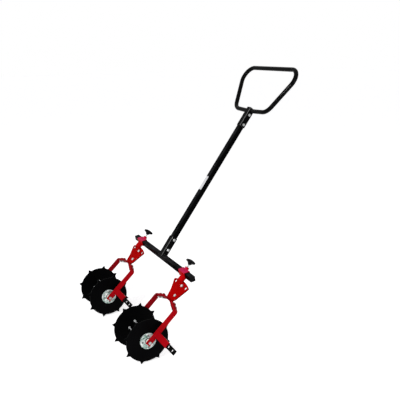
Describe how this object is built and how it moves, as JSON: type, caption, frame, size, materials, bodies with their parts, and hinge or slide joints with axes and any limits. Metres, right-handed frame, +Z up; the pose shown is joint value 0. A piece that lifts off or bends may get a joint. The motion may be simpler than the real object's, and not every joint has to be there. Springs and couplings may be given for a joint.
{
  "type": "rolling weeder",
  "caption": "Hand-pushed rolling weeder: loop handle on a square pole, crossbar with clamped swivel forks, toothed disc rollers and side bars.",
  "frame": {"origin": "middle of the crossbar's axis", "axes": "+X along the crossbar towards the unit on the right as seen from the front, +Y back to the person who pushes, +Z up, with the tool as it is held at work"},
  "size_m": [0.9085, 0.9829, 1.2606],
  "materials": {
    "black_paint": "gloss",
    "red_paint": "gloss",
    "zinc": "zinc plated",
    "bare_steel": "drawn",
    "black_plastic": "moulded",
    "nylon": "moulded",
    "pale_label": "satin"
  },
  "bodies": {
    "frame": {"crossbar": "black_paint", "bar_end_caps": "black_plastic", "lower_sleeve": "black_paint", "pole": "black_paint", "blank_label": "pale_label", "upper_sleeve": "black_paint", "handle_loop": "black_paint", "sleeve_bolts": "zinc", "sleeve_nuts": "zinc"},
    "left_clamp": {"left_clamp_sleeve": "red_paint", "left_clamp_nut": "red_paint", "left_stem": "red_paint", "left_sector_plate": "red_paint"},
    "left_screw": {"left_clamp_screw": "zinc"},
    "left_knob": {"left_wing_knob": "black_plastic"},
    "left_fork": {"left_swivel_plate": "red_paint", "left_yoke": "red_paint", "left_socket_leg": "red_paint", "left_plain_leg": "red_paint", "left_leg_bolts": "zinc", "left_swivel_bolts": "zinc", "left_fork_nuts": "red_paint", "left_axle_bolt": "zinc", "left_axle_nut": "zinc", "left_axle_sleeve": "bare_steel", "left_side_socket": "red_paint"},
    "left_roller": {"left_bushes": "nylon", "left_hub_tube": "black_paint", "left_hub_flanges": "zinc", "left_disc_socket_side": "black_paint", "left_disc_plain_side": "black_paint", "left_hub_bolts": "zinc", "left_hub_nuts": "zinc"},
    "left_bar": {"left_side_bar": "black_paint"},
    "right_clamp": {"right_clamp_sleeve": "red_paint", "right_clamp_nut": "red_paint", "right_stem": "red_paint", "right_sector_plate": "red_paint"},
    "right_screw": {"right_clamp_screw": "zinc"},
    "right_knob": {"right_wing_knob": "black_plastic"},
    "right_fork": {"right_swivel_plate": "red_paint", "right_yoke": "red_paint", "right_socket_leg": "red_paint", "right_plain_leg": "red_paint", "right_leg_bolts": "zinc", "right_swivel_bolts": "zinc", "right_fork_nuts": "red_paint", "right_axle_bolt": "zinc", "right_axle_nut": "zinc", "right_axle_sleeve": "bare_steel", "right_side_socket": "red_paint"},
    "right_roller": {"right_bushes": "nylon", "right_hub_tube": "black_paint", "right_hub_flanges": "zinc", "right_disc_socket_side": "black_paint", "right_disc_plain_side": "black_paint", "right_hub_bolts": "zinc", "right_hub_nuts": "zinc"},
    "right_bar": {"right_side_bar": "black_paint"}
  },
  "joints": [
    {"name": "left_clamp_slide", "type": "slide", "parent": "frame", "child": "left_clamp", "axis": [1, 0, 0], "range_m": [-0.03, 0.05]},
    {"name": "left_screw_travel", "type": "slide", "parent": "left_clamp", "child": "left_screw", "axis": [0, 0.5878, 0.809], "range_m": [0, 0.00375]},
    {"name": "left_knob_turn", "type": "hinge", "parent": "left_screw", "child": "left_knob", "pos_m": [-0.251, 0, 0], "axis": [0, 0.5878, 0.809], "range_deg": [0, 1080]},
    {"name": "left_fork_swivel", "type": "hinge", "parent": "left_clamp", "child": "left_fork", "pos_m": [-0.236, -0.06206, -0.08932], "axis": [0, -0.682, 0.7314], "range_deg": [-10, 10]},
    {"name": "left_roller_spin", "type": "hinge", "parent": "left_fork", "child": "left_roller", "pos_m": [-0.262, -0.22662, -0.24278], "axis": [1, 0, 0], "continuous": true},
    {"name": "left_bar_slide", "type": "slide", "parent": "left_fork", "child": "left_bar", "axis": [1, 0, 0], "range_m": [-0.034, 0.044]},
    {"name": "right_clamp_slide", "type": "slide", "parent": "frame", "child": "right_clamp", "axis": [1, 0, 0], "range_m": [-0.05, 0.04]},
    {"name": "right_screw_travel", "type": "slide", "parent": "right_clamp", "child": "right_screw", "axis": [0, 0.5878, 0.809], "range_m": [0, 0.00375]},
    {"name": "right_knob_turn", "type": "hinge", "parent": "right_screw", "child": "right_knob", "pos_m": [0.243, 0, 0], "axis": [0, 0.5878, 0.809], "range_deg": [0, 1080]},
    {"name": "right_fork_swivel", "type": "hinge", "parent": "right_clamp", "child": "right_fork", "pos_m": [0.28, -0.06206, -0.08932], "axis": [0, -0.682, 0.7314], "range_deg": [-10, 10]},
    {"name": "right_roller_spin", "type": "hinge", "parent": "right_fork", "child": "right_roller", "pos_m": [0.254, -0.22662, -0.24278], "axis": [1, 0, 0], "continuous": true},
    {"name": "right_bar_slide", "type": "slide", "parent": "right_fork", "child": "right_bar", "axis": [1, 0, 0], "range_m": [-0.008, 0.07]}
  ],
  "couplings": [
    {"joint": "left_knob_turn", "follows": "left_screw_travel", "rad_per_m": 5026.5},
    {"joint": "right_knob_turn", "follows": "right_screw_travel", "rad_per_m": 5026.5}
  ]
}
